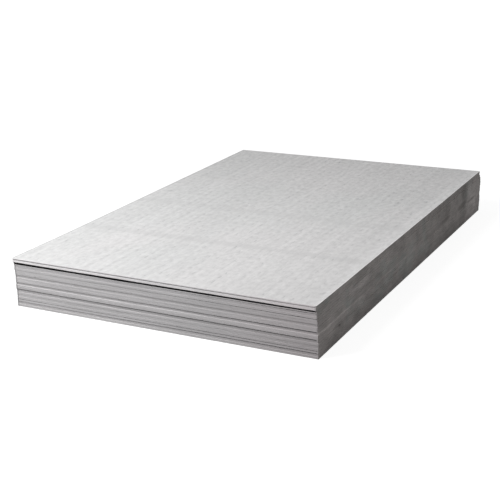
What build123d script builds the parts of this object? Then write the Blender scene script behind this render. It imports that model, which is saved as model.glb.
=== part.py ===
from build123d import *
import os
from math import asin, degrees

# A delivery stack of tile backer boards in millimetres: fibre-cement boards laid flat on each other.
# X runs across the boards, Y along them and Z up, and the near end of the stack is the one at negative Y.
# The origin is the middle of the stack's footprint, on the underside of the lowest board.

# One board, sawn square from a pressed sheet, with its arrises slightly worn
board_length = 1200.0
board_width = 800.0
board_thickness = 6.1
arris = 0.5

# How far the least square board lies off the stack: to the right, out past the near end, and turned
side_slip = 1.3
end_slip = 3.5
turn_degrees = 0.09

# The uppermost boards, which have dried with their near end bowed up off the rest. The line where the bow
# starts is skewed, so that the near left corner rises most and the near right corner hardly at all.
bowed_count = 2
bow_length = 260.0
bow_rise = 1.4
bow_skew_degrees = -14.0

# Where each board lies, from the lowest up, in shares of the side slip, the end slip and the turn
lie_shares = (
    (-0.60, -0.13, 0.58),
    (-1.00, -0.46, 0.50),
    (-0.32, -0.05, 0.50),
    (-0.18, -0.18, 0.34),
    (-0.24, -0.40, 0.22),
    (0.19, -0.26, 0.14),
    (-0.28, -0.60, -0.11),
    (0.16, 0.10, -0.01),
    (-0.12, 0.04, 0.24),
    (-0.38, -0.50, 0.10),
    (0.44, 0.10, -0.06),
    (0.50, 0.05, -0.03),
    (0.17, -0.34, -0.19),
    (0.98, 0.13, -0.36),
    (0.83, 0.10, -0.79),
    (0.54, 0.25, -0.84),
    (0.22, -0.08, -0.92),
    (-0.54, 0.00, -0.19),
    (-1.00, 1.00, 0.00),
    (-0.75, 0.92, 0.00),
)
board_count = len(lie_shares)
flat_count = board_count - bowed_count

# The bow is a round arc that leaves the flat without a kink, and the bowed boards share its centre
flat_top = flat_count * board_thickness
bow_start = bow_length - board_length / 2
bow_radius = (bow_length**2 + bow_rise**2) / (2 * bow_rise)
bow_centre = (bow_start, flat_top + bow_radius)
bow_degrees = degrees(asin(board_length / 2 / bow_radius))
straight_down_degrees = -90


def flat_board(index):
    """A board that lies flat on the one below it."""
    side_share, end_share, turn_share = lie_shares[index]
    footprint = Plane(
        origin=(side_share * side_slip, -end_share * end_slip, index * board_thickness),
        x_dir=Vector(1, 0, 0).rotate(Axis.Z, turn_share * turn_degrees),
        z_dir=(0, 0, 1),
    )
    with BuildPart() as board:
        with BuildSketch(footprint):
            Rectangle(board_width, board_length)
        extrude(amount=board_thickness)
        chamfer(board.edges(), length=arris)
    return board.part


def bowed_board(index):
    """A board whose near end curves up, nested in the bow of the board below it, so it has no turn.

    It is a long bowed sheet cut to the board's outline, and its arrises stay sharp.
    """
    side_share, end_share, no_turn = lie_shares[index]
    underside = index * board_thickness
    topside = underside + board_thickness
    near_end_degrees = straight_down_degrees - bow_degrees
    bow_plane = Plane(
        origin=(0, 0, 0),
        x_dir=Vector(0, 1, 0).rotate(Axis.Z, bow_skew_degrees),
        z_dir=Vector(1, 0, 0).rotate(Axis.Z, bow_skew_degrees),
    )
    with BuildPart() as board:
        with BuildSketch(bow_plane):
            with BuildLine():
                under = CenterArc(bow_centre, bow_radius + flat_top - underside, near_end_degrees, bow_degrees)
                over = CenterArc(bow_centre, bow_radius + flat_top - topside, near_end_degrees, bow_degrees)
                Line(under @ 0, over @ 0)
                Polyline(under @ 1, (board_length, underside), (board_length, topside), over @ 1)
            make_face()
        extrude(amount=board_width, both=True)
        with BuildSketch(Plane.XY.offset(underside)):
            with Locations((side_share * side_slip, -end_share * end_slip)):
                Rectangle(board_width, board_length)
        extrude(amount=board_length, mode=Mode.INTERSECT)
    return board.part


os.makedirs("parts", exist_ok=True)
for index in range(board_count):
    board = flat_board(index) if index < flat_count else bowed_board(index)
    board.label = f"board_{index + 1:02d}"
    export_step(board, f"parts/{board.label}.step")
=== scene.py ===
"""The looks of a stack of fibre-cement tile backer boards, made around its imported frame, in metres."""
import math
import random
from collections import namedtuple

import bpy
from mathutils import Matrix, Vector, noise


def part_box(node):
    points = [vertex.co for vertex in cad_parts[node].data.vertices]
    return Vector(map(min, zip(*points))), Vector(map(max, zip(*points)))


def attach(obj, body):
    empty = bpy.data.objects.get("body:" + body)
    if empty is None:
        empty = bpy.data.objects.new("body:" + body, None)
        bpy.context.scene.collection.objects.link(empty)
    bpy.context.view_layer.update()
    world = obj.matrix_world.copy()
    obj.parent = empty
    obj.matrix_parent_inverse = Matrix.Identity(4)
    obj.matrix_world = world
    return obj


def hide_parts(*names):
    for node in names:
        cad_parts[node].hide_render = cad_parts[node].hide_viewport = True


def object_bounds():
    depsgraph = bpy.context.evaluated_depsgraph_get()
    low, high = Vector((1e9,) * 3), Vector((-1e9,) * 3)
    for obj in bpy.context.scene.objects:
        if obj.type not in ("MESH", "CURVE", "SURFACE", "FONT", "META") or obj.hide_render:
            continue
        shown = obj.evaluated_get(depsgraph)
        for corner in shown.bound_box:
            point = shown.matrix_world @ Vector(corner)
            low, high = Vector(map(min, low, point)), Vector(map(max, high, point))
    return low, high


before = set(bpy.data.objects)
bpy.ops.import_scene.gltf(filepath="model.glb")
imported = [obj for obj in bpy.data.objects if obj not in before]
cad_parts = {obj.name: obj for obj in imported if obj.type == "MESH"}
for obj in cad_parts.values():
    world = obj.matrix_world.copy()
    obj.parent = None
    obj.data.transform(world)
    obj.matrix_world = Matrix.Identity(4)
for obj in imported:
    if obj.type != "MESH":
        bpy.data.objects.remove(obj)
cad_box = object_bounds()

# How every board is cut. A sheet of fibre cement is pressed to 6 mm and sawn to length and width, so its two
# faces are smooth, its four edges are rough, and its arrises and corners are a little worn from handling.
board_names = sorted(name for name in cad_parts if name.startswith("board_"))
bowed_names = board_names[-2:]
top_name = board_names[-1]
top_low, top_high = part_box(top_name)
board_width = top_high.x - top_low.x
board_length = top_high.y - top_low.y
board_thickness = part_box(board_names[0])[1].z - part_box(board_names[0])[0].z

# The edge is followed in stations, so many to each cell of the pressed face. The slack keeps the faces of
# two boards that touch out of one plane.
cells_across = 34
cells_along = 40
stations_per_cell = 8
corner_round = 0.0024
corner_points = 3
joint_slack = 0.00004
sides = ("near_end", "right_edge", "far_end", "left_edge")
Station = namedtuple("Station", "x y out_x out_y side run")


def outline(rounds):
    """Stations round a board's edge, anticlockwise from its near left corner.

    A station's out_x and out_y point away from the board, and its run is the way gone along its side. rounds
    holds the plan radius of the corner that ends each side.
    """
    half_width, half_length = board_width / 2, board_length / 2
    corners = [(-half_width, -half_length), (half_width, -half_length),
               (half_width, half_length), (-half_width, half_length)]
    stations = []
    for turn, side in enumerate(sides):
        start, end = corners[turn], corners[(turn + 1) % 4]
        cells = cells_along if turn % 2 else cells_across
        count = cells * stations_per_cell
        heading = Vector((end[0] - start[0], end[1] - start[1]))
        side_length = heading.length
        heading.normalize()
        out = Vector((heading.y, -heading.x))
        first_round, last_round = rounds[turn - 1], rounds[turn]
        for step in range(count + 1):
            run = first_round + (side_length - first_round - last_round) * step / count
            x, y = start[0] + heading.x * run, start[1] + heading.y * run
            stations.append(Station(x, y, out.x, out.y, side, run))
        centre_x = end[0] - (heading.x + out.x) * last_round
        centre_y = end[1] - (heading.y + out.y) * last_round
        for step in range(1, corner_points + 1):
            swing = math.pi / 2 * step / (corner_points + 1)
            turned = out * math.cos(swing) + heading * math.sin(swing)
            x, y = centre_x + turned.x * last_round, centre_y + turned.y * last_round
            nearest = side if step <= corner_points / 2 else sides[(turn + 1) % 4]
            run = side_length if nearest == side else 0.0
            stations.append(Station(x, y, turned.x, turned.y, nearest, run))
    return stations


# Near the front right corner the lower ten boards stand out of the long side by a millimetre or so, where
# the sheets spread towards that corner, and the ten above lie flush.
spread_boards = 10
spread_out = 0.0013
spread_length = 0.36


def spread(index, station):
    """How far a board stands out there."""
    if station.side != "right_edge" or index >= spread_boards or station.run >= spread_length:
        return 0.0
    return spread_out * (1 - station.run / spread_length) ** 1.5


# The sawn edge. The saw leaves it slightly wavy and grainy, the layers of the pressed sheet stand out as
# fine ridges along it, and small chips are knocked out of the arrises wherever chance puts them.
edge_heights = (0.0, 0.05, 0.22, 0.36, 0.50, 0.64, 0.80, 0.95, 1.0, 1.0)
edge_rows = len(edge_heights)
arris_row = edge_rows - 2
rim_width = 0.0021
arris = 0.00030
arris_wear = 0.7
arris_frequency = 60
saw_wave = 0.00022
wave_frequency = 22
layer_ridge = 0.00010
ridge_frequency = 7
edge_grain = 0.00009
grain_frequency = 390
chip_seed = 4100
chip_count = 46
chip_width = (0.003, 0.014)
chip_depth = (0.0003, 0.0012)
least_spacing = 0.0028
chip_search = int(chip_width[1] / least_spacing)
chip_bite = 1.3
chip_height = 0.8
chip_taper = 0.25


def knock_chips(draw, stations):
    """How deep each station's lower and upper arris is chipped."""
    depths = [[0.0, 0.0] for _ in stations]
    for _ in range(chip_count):
        at = draw.randrange(len(stations))
        half = draw.uniform(*chip_width) / 2
        depth = draw.uniform(*chip_depth) * draw.random()
        upper = draw.randrange(2)
        for offset in range(-chip_search, chip_search + 1):
            near = stations[(at + offset) % len(stations)]
            apart = math.hypot(near.x - stations[at].x, near.y - stations[at].y) / half
            if apart < 1:
                hollow = depth * (1 - apart * apart)
                spot = depths[(at + offset) % len(stations)]
                spot[upper] = max(spot[upper], hollow)
    return depths


def sawn_profile(index, station, low_chip, high_chip):
    """How far in and how high each edge vertex of a station lies, and how light the strips between are.

    The odd factors on index and row only give each board and each row noise of its own.
    """
    x, y = station.x, station.y
    wave = noise.noise(Vector((x * wave_frequency, y * wave_frequency, index * 3.7))) * saw_wave
    wave += spread(index, station)
    insets, heights = [], []
    for row, share in enumerate(edge_heights):
        inset = -wave
        height = joint_slack + share * (board_thickness - 2 * joint_slack)
        if row in (0, arris_row, arris_row + 1):
            worn = noise.noise(Vector((x * arris_frequency, y * arris_frequency, index + row)))
            inset += arris * (1 + arris_wear * worn)
            inset += chip_bite * (low_chip if row == 0 else high_chip)
        else:
            place = Vector((x * ridge_frequency + 11, y * ridge_frequency, row * 5.3 + index * 9.1))
            ridge = noise.noise(place) * layer_ridge
            place = Vector((x * grain_frequency, y * grain_frequency, row * 3.1 + index))
            grain = noise.noise(place) * edge_grain
            inset -= ridge + grain
        if row == 1:
            height += chip_height * low_chip
            inset += chip_taper * low_chip
        if row == arris_row - 1:
            height -= chip_height * high_chip
            inset += chip_taper * high_chip
        insets.append(inset)
        heights.append(height)
    insets[-1] = insets[arris_row] + rim_width
    return insets, heights, [1.0] * (edge_rows - 1)


# Along the near end some joints are broken open: the arrises on both sides of the joint are gone, and a
# ledge runs in under the board above, darkened with painted shade for the shade in the gap. The widest is
# under the bowed pair.
broken_joints = {
    # board below the joint: how far down and how far up it is broken at the left, the same at the right,
    # and how deep
    "board_18": (0.0040, 0.0022, 0.0035, 0.0015, 0.0090),
    "board_17": (0.0, 0.0, 0.0007, 0.0004, 0.0024),
    "board_15": (0.0, 0.0, 0.0007, 0.0004, 0.0024),
    "board_13": (0.0, 0.0002, 0.0, 0.0006, 0.0012),
    "board_10": (0.0, 0.0004, 0.0012, 0.0012, 0.0034),
    "board_07": (0.0, 0.0023, 0.0004, 0.0019, 0.0036),
    "board_03": (0.0, 0.0002, 0.0, 0.0008, 0.0014),
    "board_02": (0.0, 0.0006, 0.0005, 0.0010, 0.0028),
}
break_margin = 0.0030
break_painted_shade = 0.06
break_raggedness = 0.12
ragged_frequency = 14
thin_strip = 0.0002


def clear_of_corners(run):
    """0 at the two corners of the near end, and 1 from break_margin inwards."""
    return min(1.0, run / break_margin, (board_width - run) / break_margin)


def along_near_end(left, right, run):
    """A value that changes evenly from the left of the near end to its right."""
    return left + (right - left) * run / board_width


def break_joint(index, station, insets, heights, shades):
    """Breaks a board's upper arris where the joint above is open, and its lower one where that below is.

    The upper arris sinks to a ledge darkened with painted shade: the rows below are squeezed under it, and
    those above move in.
    """
    run = station.run
    if station.side != "near_end":
        return
    opened = clear_of_corners(run)
    for name in board_names[max(index - 1, 0):index + 1]:
        if name not in broken_joints:
            continue
        down_left, up_left, down_right, up_right, depth = broken_joints[name]
        uneven = noise.noise(Vector((run * ragged_frequency, board_names.index(name) * 5.1, 0)))
        ragged = 1 + break_raggedness * uneven
        down = along_near_end(down_left, down_right, run) * ragged
        up = along_near_end(up_left, up_right, run) * ragged
        if name == board_names[index]:
            ledge = board_thickness - down
            for row in range(1, arris_row - 1):
                heights[row] += opened * (heights[row] / heights[arris_row - 2] * ledge - heights[row])
            heights[arris_row - 1] += opened * (ledge - thin_strip - heights[arris_row - 1])
            for row in (arris_row - 1, arris_row, arris_row + 1):
                insets[row] += opened * depth
            # painted shade: the ledge strips are darkened as the shade deep in the gap
            shades[arris_row - 2] = shades[arris_row - 1] = 1 - opened * (1 - break_painted_shade)
        else:
            insets[0] += opened * depth
            heights[1] = max(heights[1], opened * up)
            heights[2] = max(heights[2], heights[1] + thin_strip)


# The uppermost board's near end has split along one of its layers, about 3 mm below its face, which leaves a
# thin sunk line from corner to corner, darkened with painted shade for the shade in the split.
split_row = 3
split_heights = (0.0019, 0.0020, 0.0033, 0.0034)
split_depth = 0.0014
split_painted_shades = (0.20, 0.52)


def split_layer(index, station, insets, heights, shades):
    """Sinks the rows of the split and darkens the strips between them with painted shade."""
    if board_names[index] != top_name or station.side != "near_end":
        return
    opened = clear_of_corners(station.run)
    for row, height in enumerate(split_heights, start=split_row):
        heights[row] += opened * (height - heights[row])
    for row in (split_row + 1, split_row + 2):
        insets[row] += opened * split_depth
    shade = along_near_end(*split_painted_shades, station.run)
    # painted shade: the split's strips are darkened as the shade inside it
    for row in range(split_row, split_row + 3):
        shades[row] = 1 - opened * (1 - shade)


# Two rounded corners of the stack are darker, the near left one below the bowed pair and the far right one,
# and the lowest arris of the long side is darkened with a painted shadow where it stands on the floor.
near_left_dark_reach = 0.0035
far_right_dark_reach = 0.010
corner_darkening = 0.62
foot_painted_shadow = 0.70


def darken_corners_and_foot(index, station, shades):
    """Darkens the strips of a station at the two darker corners, and paints the shadow along the foot."""
    side, run = station.side, station.run
    near_left = (side == "near_end" and run < near_left_dark_reach
                 or side == "left_edge" and run > board_length - near_left_dark_reach)
    far_right = side == "right_edge" and run > board_length - far_right_dark_reach
    if far_right or near_left and board_names[index] not in bowed_names:
        shades[:] = [shade * corner_darkening for shade in shades]
    if side == "right_edge" and index == 0:
        # painted shadow: the foot arris of the long side darkened as the contact shadow on the floor
        shades[0] = shades[1] = foot_painted_shadow


def board_points(index, rounds):
    """Every edge vertex of a board in its own flat frame, with the stations and the shades of the strips."""
    draw = random.Random(chip_seed + index)
    stations = outline(rounds)
    chips = knock_chips(draw, stations)
    points, strip_shades = [], []
    for station, (low_chip, high_chip) in zip(stations, chips):
        insets, heights, shades = sawn_profile(index, station, low_chip, high_chip)
        break_joint(index, station, insets, heights, shades)
        split_layer(index, station, insets, heights, shades)
        darken_corners_and_foot(index, station, shades)
        for inset, height in zip(insets, heights):
            points.append((station.x - station.out_x * inset, station.y - station.out_y * inset, height))
        strip_shades.append(shades)
    return stations, points, strip_shades


# The two uppermost boards have dried with their near end bowed up, the near left corner most. The bow is a
# round arc that starts at a line across the board, skewed so that it is longer on the left, and the frame's
# own boards say how far it has risen at that corner.
bow_length = 0.260
bow_skew = math.radians(-14)
bow_start = bow_length - board_length / 2
bow_ahead = Vector((-math.sin(bow_skew), math.cos(bow_skew), 0.0))
lift_low, lift_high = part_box(bowed_names[0])
bow_reach = bow_start - bow_ahead.dot((lift_low.x, lift_low.y, 0.0))
bow_rise = lift_high.z - lift_low.z - board_thickness
bow_radius = (bow_reach ** 2 + bow_rise ** 2) / (2 * bow_rise)
bow_centre_height = lift_low.z + bow_radius


def bowed(place):
    """Where a point of a flat board goes when its near end bows up."""
    ahead = bow_ahead.dot(place)
    if ahead >= bow_start:
        return place
    swing = math.asin((bow_start - ahead) / bow_radius)
    radius = bow_centre_height - place.z
    gone = bow_start - radius * math.sin(swing) - ahead
    return place + bow_ahead * gone + Vector((0, 0, bow_centre_height - radius * math.cos(swing) - place.z))


# The boards below them fan out a little at that corner too, as sheets do where the ones on them have lifted:
# each rises by a share that grows with its height.
fan_rise = 0.0020
flat_top = lift_low.z


def fanned(place):
    """Where a point of a board below the bowed pair goes."""
    reach = max(0.0, bow_start - bow_ahead.dot(place)) / bow_reach
    return place + Vector((0, 0, fan_rise * place.z / flat_top * reach * reach))


def lay_board(name, points):
    """Puts a board's points where its CAD board lies, shifted as it is, and turned too or else bowed."""
    low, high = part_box(name)
    middle = (low + high) / 2
    middle.z = low.z
    if name in bowed_names:
        return [bowed(middle + Vector(point)) for point in points]
    corners = [vertex.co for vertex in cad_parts[name].data.vertices]
    near = [corner.x for corner in corners if corner.y < middle.y]
    far = [corner.x for corner in corners if corner.y >= middle.y]
    lean = sum(far) / len(far) - sum(near) / len(near)
    turn = Matrix.Rotation(-math.asin(lean / board_length), 3, "Z")
    return [fanned(middle + turn @ Vector(point)) for point in points]


# The pressed face of the uppermost board. Its carrier has left columns of short shallow dashes along the
# board, 23 mm apart, of all lengths and many of them nearly gone. The other boards' faces are plain.
face_margin = 0.005
column_pitch = (board_width - 2 * face_margin) / cells_across
row_pitch = (board_length - 2 * face_margin) / cells_along
dash_seed = 977
dash_length = (0.009, 0.022)
dash_width = (0.0022, 0.0042)
dash_depth = (0.00001, 0.00016)
dash_wander = (0.0008, 0.0034)
dash_fading = 1.6
dash_skew = 0.4
# a dash's ring goes round from its near left point
dash_ring = ((-1, -0.8), (0, -1), (1, -0.8), (1, 0.8), (0, 1), (-1, 0.8))
dash_floor = (0.5, 0.85)
dash_rim_grey = 0.1
dash_points = len(dash_ring)


def draw_dash(draw, middle_x, middle_y, face_height):
    """The points of one dash, first its ring on the face, then its sunk floor, and how strong each is."""
    middle_x += draw.uniform(-1, 1) * dash_wander[0]
    middle_y += draw.uniform(-1, 1) * dash_wander[1]
    strength = draw.random() ** dash_fading
    half_x = draw.uniform(*dash_width) / 2
    half_y = draw.uniform(*dash_length) / 2
    depth = dash_depth[0] + (dash_depth[1] - dash_depth[0]) * strength
    skew = draw.uniform(-dash_skew, dash_skew) * half_x
    ring, floor = [], []
    for share_x, share_y in dash_ring:
        x = middle_x + share_x * half_x + share_y * skew
        ring.append((x, middle_y + share_y * half_y, face_height))
        x = middle_x + dash_floor[0] * share_x * half_x + share_y * skew
        floor.append((x, middle_y + dash_floor[1] * share_y * half_y, face_height - depth))
    return ring + floor, [dash_rim_grey * strength] * dash_points + [strength] * dash_points


def pressed_dashes(stations, start):
    """Cells of the upper face, each with one dash pressed in, joined to the rim inside the upper arris.

    The new points are counted from start, and each has its strength in pressed.
    """
    draw = random.Random(dash_seed)
    rim = edge_rows - 1
    face_height = board_thickness - joint_slack
    first_x, first_y = face_margin - board_width / 2, face_margin - board_length / 2
    points, faces = [], []
    for row in range(cells_along + 1):
        for column in range(cells_across + 1):
            points.append((first_x + column * column_pitch, first_y + row * row_pitch, face_height))
    pressed = [0.0] * len(points)

    def corner(column, row):
        return start + row * (cells_across + 1) + column

    for row in range(cells_along):
        for column in range(cells_across):
            middle_x = first_x + (column + 0.5) * column_pitch
            middle_y = first_y + (row + 0.5) * row_pitch
            dash, strengths = draw_dash(draw, middle_x, middle_y, face_height)
            base = start + len(points)
            inner = base + dash_points
            points += dash
            pressed += strengths
            near_left, near_right = corner(column, row), corner(column + 1, row)
            far_right, far_left = corner(column + 1, row + 1), corner(column, row + 1)
            faces.append((near_left, near_right, base + 2, base + 1, base))
            faces.append((near_right, far_right, base + 3, base + 2))
            faces.append((far_right, far_left, base + 5, base + 4, base + 3))
            faces.append((far_left, near_left, base, base + 5))
            for step in range(dash_points):
                after = (step + 1) % dash_points
                faces.append((base + step, base + after, inner + after, inner + step))
            faces.append(tuple(inner + step for step in range(dash_points)))

    borders = (
        [corner(column, 0) for column in range(cells_across + 1)],
        [corner(cells_across, row) for row in range(cells_along + 1)],
        [corner(column, cells_along) for column in range(cells_across, -1, -1)],
        [corner(0, row) for row in range(cells_along, -1, -1)],
    )
    at = 0
    for border in borders:
        for cell in range(len(border) - 1):
            edge = [(at + step) * edge_rows + rim for step in range(stations_per_cell + 1)]
            faces.append(tuple(edge + [border[cell + 1], border[cell]]))
            at += stations_per_cell
        arc = [((at + step) % len(stations)) * edge_rows + rim for step in range(corner_points + 2)]
        faces.append(tuple(arc + [border[-1]]))
        at += corner_points + 1
    return points, faces, pressed


# The finishes. They are worked out from the place in the stack, in metres, and this class lets their sums be
# written as sums: it holds one value on its way through a finish's nodes.
class Wire:
    """A value, colour or vector on its way through the nodes of one finish."""

    def __init__(self, socket):
        self.socket = socket
        self.tree = socket.id_data

    def node(self, kind, settings, inputs, output=0):
        """Adds a node: its settings first, then the values or links of its sockets."""
        made = self.tree.nodes.new(kind)
        for name, value in settings.items():
            setattr(made, name, value)
        for name, value in inputs.items():
            if isinstance(value, Wire):
                self.tree.links.new(value.socket, made.inputs[name])
            else:
                made.inputs[name].default_value = value
        return Wire(made.outputs[output])

    def maths(self, operation, *terms):
        return self.node("ShaderNodeMath", {"operation": operation}, dict(enumerate(terms)))

    def cosine(self):
        return self.maths("COSINE", self)

    def __add__(self, other):
        return self.maths("ADD", self, other)

    def __radd__(self, other):
        return self.maths("ADD", other, self)

    def __sub__(self, other):
        return self.maths("SUBTRACT", self, other)

    def __rsub__(self, other):
        return self.maths("SUBTRACT", other, self)

    def __mul__(self, other):
        return self.maths("MULTIPLY", self, other)

    def __rmul__(self, other):
        return self.maths("MULTIPLY", other, self)

    def __truediv__(self, other):
        return self.maths("DIVIDE", self, other)

    def __abs__(self):
        return self.maths("ABSOLUTE", self)

    def between(self, low, high):
        """0 below low, 1 above high, and a smooth way between."""
        return self.node("ShaderNodeMapRange", {"interpolation_type": "SMOOTHSTEP"},
                         {"Value": self, "From Min": low, "From Max": high})

    def axis(self, number):
        """This place's x, y or z, numbered from 0."""
        return self.node("ShaderNodeSeparateXYZ", {}, {"Vector": self}, number)

    def stretched(self, x, y, z):
        """This place with each axis scaled, so that noise on it is streaked along the least scaled one."""
        return self.node("ShaderNodeVectorMath", {"operation": "MULTIPLY"}, {0: self, 1: (x, y, z)})

    def noise(self, scale, detail=3.0, roughness=0.55):
        """Noise at this place, from 0 to 1 and mostly near the middle."""
        return self.node("ShaderNodeTexNoise", {},
                         {"Vector": self, "Scale": scale, "Detail": detail, "Roughness": roughness})

    def given(self, name):
        """A value that the mesh holds for each of its points or faces."""
        return self.node("ShaderNodeAttribute", {"attribute_name": name}, {}, "Fac")

    def stained(self, colour, mask):
        """This colour with another over it as far as the mask says."""
        return self.node("ShaderNodeMix", {"data_type": "RGBA"}, {0: mask, 6: self, 7: colour}, 2)

    def shaded(self, amount):
        """This colour scaled by a value."""
        return self.node("ShaderNodeVectorMath", {"operation": "SCALE"}, {0: self, "Scale": amount})


def blend(mask, first, second):
    """A colour that goes from the first to the second as the mask goes from 0 to 1."""
    return mask.node("ShaderNodeMix", {"data_type": "RGBA"}, {0: mask, 6: first, 7: second}, 2)


cement_gloss = 0.25


def new_finish(name):
    """A material with its shader, the place in the stack, and the tone that each strip was given."""
    material = bpy.data.materials.new(name)
    material.use_nodes = True
    shader = material.node_tree.nodes["Principled BSDF"]
    shader.inputs["Specular IOR Level"].default_value = cement_gloss
    place = Wire(material.node_tree.nodes.new("ShaderNodeTexCoord").outputs["Object"])
    return material, shader, place, place.given("board_tone")


def feed(shader, name, wire):
    """Links a worked-out value to one socket of the shader."""
    wire.tree.links.new(wire.socket, shader.inputs[name])


def bump(relief, distance, strength):
    """Normals for a relief too fine to be cut into the mesh."""
    return relief.node("ShaderNodeBump", {}, {"Height": relief, "Distance": distance, "Strength": strength})


# The pressed face is smooth pale grey cement: faintly cloudy, streaked along the board by the press felt,
# with fine pores, dust held in the dashes and their columns, and bands across where the sheet lay on its
# bearers. A strip just inside the right-hand edge is paler, partly rubbed and partly a painted highlight
# along the arris, and the left-hand rim is darker.
face_cool = (0.717, 0.718, 0.716, 1.0)
face_warm = (0.744, 0.736, 0.736, 1.0)
dash_grey = (0.540, 0.540, 0.545, 1.0)
bands = (
    # as shares of the length: how far along from the near end, half width, and then how much darker
    (0.246, 0.018, 0.085),
    (0.471, 0.024, 0.050),
    (0.718, 0.022, 0.018),
)
patches = (
    # as shares of the face: how far along from the near end, how far across from the left, half length,
    # half width, and then how much paler
    (0.42, 0.08, 0.34, 0.26, 0.045),
    (0.43, 0.66, 0.34, 0.26, 0.030),
    (0.43, 0.36, 0.30, 0.20, 0.008),
    (0.02, 0.92, 0.09, 0.28, -0.030),
    (0.96, 0.40, 0.16, 0.30, -0.022),
)
band_core = 0.2
patch_fade = (0.0, 1.3)
dash_dust = (0.44, 1.06)
column_shade = 0.009
rubbed_and_lit_strip = (0.950, 0.985)
rubbed_and_lit_strip_start = (0.05, 0.35)
rubbed_and_lit_strip_gain = 0.09
left_rim = (0.003, 0.010)
left_rim_shade = 0.07


def finish_pressed_face():
    material, shader, place, tone = new_finish("pressed_cement_face")
    clouds = place.stretched(1.0, 0.6, 1.0).noise(5.0, 4.0)
    drift = place.stretched(1.0, 0.7, 1.0).noise(3.1, 2.0)
    streaks = place.stretched(86.0, 1.3, 20.0).noise(1.0, 2.0, 0.6)
    flecks = place.stretched(94.0, 52.0, 40.0).noise(1.0, 2.0, 0.6)
    felt = place.stretched(420.0, 70.0, 60.0).noise(1.0, 3.0, 0.6)
    grain = place.noise(900.0, 3.0, 0.7)
    pores = place.noise(260.0, 2.0, 0.5).between(0.64, 0.74)
    x = place.axis(0)
    across = x / board_width + 0.5
    along = place.axis(1) / board_length + 0.5
    columns = (x * (math.tau / column_pitch) + math.pi * (cells_across + 1)).cosine()
    patchy = place.noise(11.0, 3.0, 0.6).between(0.38, 0.66)
    colour = blend(drift.between(0.38, 0.62), face_cool, face_warm)
    dust = dash_dust[0] + (dash_dust[1] - dash_dust[0]) * patchy
    colour = colour.stained(dash_grey, place.given("pressed") * dust)
    light = 0.742 + 0.03 * clouds + 0.22 * streaks + 0.16 * felt + 0.04 * grain
    light = light + (flecks - 0.5) * (0.36 + 0.14 * along) - 0.08 * pores - column_shade * columns
    # paler strip by the right-hand edge: partly rubbed, partly a painted highlight along the arris
    light = light + rubbed_and_lit_strip_gain * across.between(*rubbed_and_lit_strip) * along.between(*rubbed_and_lit_strip_start)
    light = light - left_rim_shade * (1 - across.between(*left_rim))
    for band_along, half_width, shade in bands:
        across_band = 1 - abs(along - band_along).between(band_core * half_width, half_width)
        light = light - shade * across_band * flecks.between(0.30, 0.55)
    for patch_along, patch_across, half_along, half_across, paler in patches:
        away_along = (along - patch_along) / half_along
        away_across = (across - patch_across) / half_across
        away = away_along * away_along + away_across * away_across + 0.5 * clouds - 0.25
        light = light + paler * (1 - away.between(*patch_fade))
    feed(shader, "Base Color", colour.shaded(light * tone))
    feed(shader, "Roughness", 0.74 + 0.12 * grain - 0.05 * streaks)
    relief = 0.5 * grain + 0.35 * felt + 0.4 * flecks - 0.8 * pores
    feed(shader, "Normal", bump(relief, distance=0.00014, strength=0.7))
    return material


# The sawn ends show the sheet's layers as fine pale and dark streaks, a shade darker and faintly warmer than
# the face. Towards the right-hand corner they are dustier and darker, and darker still low down there.
end_pale = (0.577, 0.564, 0.570, 1.0)
end_dark = (0.389, 0.378, 0.383, 1.0)
end_dust = (0.562, 0.513, 0.523, 1.0)
dusty_part = (0.60, 1.0)
darker_part = (0.40, 1.05)
darker_shade = 0.10
low_right_part = (0.72, 1.0)
low_heights = (0.22, 0.42)
low_right_darkening = 0.11


def finish_sawn_end():
    material, shader, place, tone = new_finish("sawn_cement_end")
    layers = place.stretched(3.2, 3.2, 560.0).noise(1.0, 3.0, 0.6)
    fine_layers = place.stretched(9.0, 9.0, 1500.0).noise(1.0, 2.0, 0.6)
    smears = place.stretched(5.0, 5.0, 40.0).noise(1.0, 3.0, 0.55)
    grain = place.noise(900.0, 3.0, 0.7)
    across = place.axis(0) / board_width + 0.5
    up = place.axis(2) / cad_box[1][2]
    streaky = (0.50 * layers + 0.30 * fine_layers + 0.20 * smears).between(0.36, 0.62)
    colour = blend(streaky * 0.55, end_pale, end_dark)
    colour = colour.stained(end_dust, 0.5 * across.between(*dusty_part))
    low_right = across.between(*low_right_part) * (1 - up.between(*low_heights))
    light = tone * (0.94 + 0.12 * grain) * (1 - darker_shade * across.between(*darker_part))
    light = light * (1 - low_right_darkening * low_right)
    feed(shader, "Base Color", colour.shaded(light))
    feed(shader, "Roughness", 0.82 + 0.10 * grain)
    feed(shader, "Normal", bump(0.6 * fine_layers + 0.5 * grain, distance=0.00022, strength=0.9))
    return material


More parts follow.
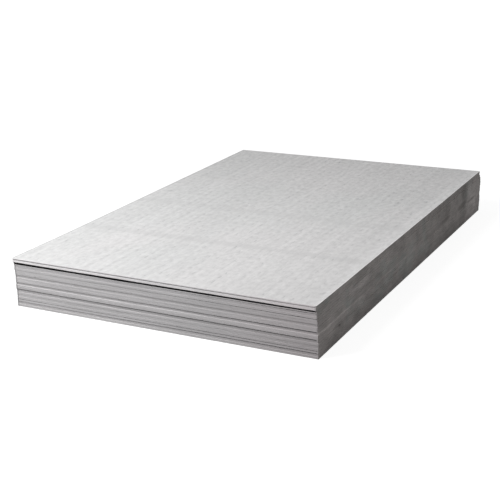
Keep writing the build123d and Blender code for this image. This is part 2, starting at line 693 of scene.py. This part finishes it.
# The long edges are darker and duller than the ends, partly weathered and partly painted shade for sides
# that stand in shade: mottled warm and greenish grey across the joints, darker towards the foot, with a few
# rubbed and sooty marks on the right-hand side, and a painted highlight along the ledge at mid-height.
# painted shade: these colours are darker than the ends partly because the long sides stand in shade
long_warm = (0.442, 0.414, 0.403, 1.0)
long_green = (0.412, 0.410, 0.398, 1.0)
rubbed_pale_and_highlight = (0.680, 0.640, 0.625, 1.0)
soot = (0.150, 0.138, 0.132, 1.0)
marks = (
    # as shares of the side: how far along from the near end, how far up, half length, half height, and then
    # colour and strength
    # the first three marks: a painted highlight along the mid-height ledge where the lower boards stand out
    (0.050, 0.455, 0.080, 0.030, rubbed_pale_and_highlight, 0.72),
    (0.130, 0.455, 0.190, 0.026, rubbed_pale_and_highlight, 0.60),
    (0.420, 0.455, 0.130, 0.022, rubbed_pale_and_highlight, 0.42),
    (0.210, 0.72, 0.052, 0.07, rubbed_pale_and_highlight, 0.72),
    (0.330, 0.80, 0.075, 0.20, rubbed_pale_and_highlight, 0.20),
    (0.918, 0.74, 0.040, 0.26, rubbed_pale_and_highlight, 0.75),
    (0.952, 0.26, 0.012, 0.24, rubbed_pale_and_highlight, 0.75),
    (0.958, 0.20, 0.080, 0.95, rubbed_pale_and_highlight, 0.62),
    (0.718, 0.51, 0.040, 0.065, soot, 0.50),
    (0.735, 0.68, 0.026, 0.26, soot, 0.18),
    (0.850, 0.51, 0.046, 0.08, soot, 0.52),
    (0.866, 0.76, 0.026, 0.34, soot, 0.38),
    (0.925, 0.47, 0.036, 0.04, soot, 0.45),
    (0.095, 0.285, 0.007, 0.030, soot, 0.60),
)
mark_fade = (0.1, 1.2)
foot_band = (0.06, 0.40)
foot_band_darkening = 0.80
upper_part = (0.25, 0.75)
upper_shade = 0.085
far_part = (0.45, 0.75)
far_shade = 0.08


def finish_long_edge():
    material, shader, place, tone = new_finish("weathered_and_shade_painted_cement_edge")
    mottle = place.stretched(1.0, 1.0, 1.4).noise(7.5, 4.0, 0.6)
    clouds = place.stretched(1.0, 1.0, 0.9).noise(19.0, 4.0, 0.6)
    fine_clouds = place.stretched(1.0, 1.0, 1.6).noise(70.0, 3.0, 0.6)
    smears = place.stretched(20.0, 20.0, 90.0).noise(1.0, 3.0, 0.6).between(0.34, 0.66)
    blotches = place.noise(21.0, 3.0, 0.55).between(0.36, 0.64)
    layers = place.stretched(3.0, 3.0, 560.0).noise(1.0, 3.0, 0.6)
    grain = place.noise(900.0, 3.0, 0.7)
    along = place.axis(1) / board_length + 0.5
    up = place.axis(2) / cad_box[1][2]
    right = place.axis(0).between(0.0, 0.01)
    colour = blend(mottle.between(0.52, 0.62), long_warm, long_green)
    for mark_along, mark_up, half_along, half_up, mark_colour, strength in marks:
        away_along = abs(along - mark_along) / half_along
        away_up = abs(up - mark_up) / half_up
        away = away_along * away_along + away_up * away_up + 1.5 * clouds + 0.7 * fine_clouds - 1.1
        colour = colour.stained(mark_colour, (1 - away.between(*mark_fade)) * right * strength)
    light = 0.635 + 0.20 * clouds + 0.20 * smears + 0.19 * blotches + 0.06 * layers + 0.07 * grain
    light = light * (foot_band_darkening + (1 - foot_band_darkening) * up.between(*foot_band))
    light = light * (1 - upper_shade * up.between(*upper_part))
    light = light * (1 - far_shade * along.between(*far_part))
    feed(shader, "Base Color", colour.shaded(light * tone))
    feed(shader, "Roughness", 0.80 + 0.12 * grain)
    feed(shader, "Normal", bump(0.3 * layers + 0.6 * grain, distance=0.00018, strength=0.8))
    return material


finishes = [finish_pressed_face(), finish_sawn_end(), finish_long_edge()]
face_finish = 0
finish_of_side = {"near_end": 1, "right_edge": 2, "far_end": 1, "left_edge": 2}

# The boards are made and laid one by one from the bottom of the stack. Each is one closed mesh that stands
# for its CAD board, and only the uppermost shows its pressed face. The ends of the bowed pair are paler,
# partly clean sawn ends and partly painted light for the light that they catch where they stand out.
struck_corner = 0.0042
tone_seed = 60
end_tone_spread = 0.04
long_tone_spread = 0.02
clean_and_lit_end_tone = 1.50
# Some boards' near ends are paler. The values for board_18 and board_13 are painted light that offsets the
# shade beneath the boards above them.
paler_and_lit_end_tones = {
    "board_18": 1.24,
    "board_13": 1.05,
    "board_12": 1.05,
    "board_09": 1.06,
    "board_06": 1.04,
    "board_02": 1.06,
    "board_01": 1.07,
}
near_rim_tone = 1.30
# The uppermost board's rims: the near and right-hand ones carry a painted highlight along the arris, the
# right-hand one partly a worn paler arris too, and the far and left-hand ones are darker.
top_rim_tones_and_highlights = {"near_end": 1.05, "right_edge": 1.26, "far_end": 0.80, "left_edge": 0.74}
sharp_angle = math.radians(38)


def tones_of_sides(index, name):
    """How light each side of a board is, a little different from board to board."""
    draw = random.Random(tone_seed + index)
    end_tone = paler_and_lit_end_tones.get(name, 1.0) + draw.uniform(-1, 1) * end_tone_spread
    if name in bowed_names:
        # painted light: the bowed pair's ends, partly clean sawn ends and partly the light they catch
        end_tone = clean_and_lit_end_tone
    long_tone = 1 + draw.uniform(-1, 1) * long_tone_spread
    return {"near_end": end_tone, "right_edge": long_tone, "far_end": 1.0, "left_edge": long_tone}


def edge_strips(index, name, stations, strip_shades):
    """The faces round a board's edge, with the finish and the tone of each."""
    side_tones = tones_of_sides(index, name)
    faces, looks, tones = [], [], []
    for at, station in enumerate(stations):
        after = (at + 1) % len(stations)
        side = station.side
        for row in range(edge_rows - 1):
            lower, upper = at * edge_rows + row, after * edge_rows + row
            faces.append((lower, upper, upper + 1, lower + 1))
            if name == top_name and row == arris_row:
                looks.append(face_finish)
                tones.append(top_rim_tones_and_highlights[side])
            else:
                looks.append(finish_of_side[side])
                rim_tone = near_rim_tone if side == "near_end" and row == arris_row else 1.0
                tones.append(side_tones[side] * rim_tone * strip_shades[at][row])
    return faces, looks, tones


def make_board(index, name):
    """One board: its edge, its two faces, its three finishes and its place in the frame."""
    near_right = struck_corner if name in bowed_names else corner_round
    rounds = (near_right, corner_round, corner_round, corner_round)
    stations, points, strip_shades = board_points(index, rounds)
    faces, looks, tones = edge_strips(index, name, stations, strip_shades)
    count = len(stations)
    faces.append(tuple(at * edge_rows for at in reversed(range(count))))
    pressed = [0.0] * len(points)
    if name == top_name:
        dash_places, dash_faces, dash_pressed = pressed_dashes(stations, len(points))
        points += dash_places
        faces += dash_faces
        pressed += dash_pressed
    else:
        faces.append(tuple(at * edge_rows + edge_rows - 1 for at in range(count)))
    looks += [face_finish] * (len(faces) - len(looks))
    tones += [1.0] * (len(faces) - len(tones))

    mesh = bpy.data.meshes.new(name + "_fibre_cement")
    mesh.from_pydata(lay_board(name, points), [], faces)
    for finish in finishes:
        mesh.materials.append(finish)
    mesh.polygons.foreach_set("material_index", looks)
    mesh.polygons.foreach_set("use_smooth", [look != face_finish for look in looks])
    mesh.set_sharp_from_angle(angle=sharp_angle)
    mesh.attributes.new("pressed", "FLOAT", "POINT").data.foreach_set("value", pressed)
    mesh.attributes.new("board_tone", "FLOAT", "FACE").data.foreach_set("value", tones)
    mesh.validate()
    board = bpy.data.objects.new(name + "_sheet", mesh)
    bpy.context.scene.collection.objects.link(board)
    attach(board, "root")
    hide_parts(name)


for index, name in enumerate(board_names):
    make_board(index, name)

# The studio. A pale floor that the camera sees as white, with the stack's faint shadow on it near by. It
# gives back only part of its light, because the stack's right-hand side stands in shade.
floor_half = 12.0
floor_shade = 0.42
floor_glow = 1.30
shadow_share = 0.32
shadow_reach = (1.1, 2.6)
white = (1.0, 1.0, 1.0, 1.0)


def seen_directly(tree):
    """1 where the camera looks, straight or by way of gloss or glass, and 0 for the light's own bounces."""
    path = tree.nodes.new("ShaderNodeLightPath")
    seen = Wire(path.outputs["Is Camera Ray"]) + Wire(path.outputs["Is Glossy Ray"])
    return (seen + Wire(path.outputs["Is Transmission Ray"])).between(0.0, 1.0)


def finish_floor():
    material = bpy.data.materials.new("studio_floor")
    material.use_nodes = True
    tree = material.node_tree
    tree.nodes.clear()
    seen = seen_directly(tree)
    bounce = seen.node("ShaderNodeBsdfDiffuse", {}, {"Color": (floor_shade, floor_shade, floor_shade, 1.0)})
    shadow = seen.node("ShaderNodeBsdfDiffuse", {}, {"Color": white})
    glow = seen.node("ShaderNodeEmission", {}, {"Color": white, "Strength": floor_glow})
    place = Wire(tree.nodes.new("ShaderNodeTexCoord").outputs["Object"])
    away = place.node("ShaderNodeVectorMath", {"operation": "LENGTH"}, {0: place}, "Value")
    share = shadow_share * (1 - away.between(*shadow_reach))
    backdrop = seen.node("ShaderNodeMixShader", {}, {0: share, 1: glow, 2: shadow})
    both = seen.node("ShaderNodeMixShader", {}, {0: seen, 1: bounce, 2: backdrop})
    output = tree.nodes.new("ShaderNodeOutputMaterial")
    tree.links.new(both.socket, output.inputs["Surface"])
    return material


floor_mesh = bpy.data.meshes.new("studio_floor")
floor_mesh.from_pydata([(-floor_half, -floor_half, 0), (floor_half, -floor_half, 0),
                        (floor_half, floor_half, 0), (-floor_half, floor_half, 0)], [], [(0, 1, 2, 3)])
floor_mesh.materials.append(finish_floor())
floor = bpy.data.objects.new("studio_floor", floor_mesh)
bpy.context.scene.collection.objects.link(floor)

# The light. One large soft lamp hangs about 1.7 m up, in front of the stack and to its left, so that the
# near left part of the top board is brightest, and a pale even surround fills the rest.
surround_fill = 0.31
lamp_place = Vector((-0.955, -1.425, 1.692))
lamp_target = Vector((-0.21, -0.066, 0.10))
lamp_width = 1.2
lamp_watts = 42.7

surround = bpy.data.worlds.new("studio_surround")
surround.use_nodes = True
bpy.context.scene.world = surround
surround_light = surround.node_tree.nodes["Background"]
surround_light.inputs["Color"].default_value = white
feed(surround_light, "Strength", surround_fill + (1 - surround_fill) * seen_directly(surround.node_tree))

lamp_data = bpy.data.lights.new("key_lamp", "AREA")
lamp_data.shape = "DISK"
lamp_data.size = lamp_width
lamp_data.energy = lamp_watts
lamp = bpy.data.objects.new("key_lamp", lamp_data)
lamp.location = lamp_place
lamp.rotation_euler = (lamp_target - lamp_place).to_track_quat("-Z", "Y").to_euler()
bpy.context.scene.collection.objects.link(lamp)

# The camera stands in front of the near right corner and looks down on the stack, tilted a little, as the
# photograph was taken.
camera_place = (1.2775, -2.5511, 0.9638)
camera_azimuth = math.radians(27.880)
camera_elevation = math.radians(18.493)
camera_roll = math.radians(-1.785)
camera_lens = 79.23

camera_data = bpy.data.cameras.new("photo_camera")
camera_data.lens = camera_lens
camera = bpy.data.objects.new("photo_camera", camera_data)
camera.location = camera_place
aim = Matrix.Rotation(camera_azimuth, 3, "Z") @ Matrix.Rotation(math.pi / 2 - camera_elevation, 3, "X")
camera.rotation_euler = (aim @ Matrix.Rotation(camera_roll, 3, "Z")).to_euler()
bpy.context.scene.collection.objects.link(camera)
bpy.context.scene.camera = camera
bpy.context.scene.view_settings.view_transform = "Standard"
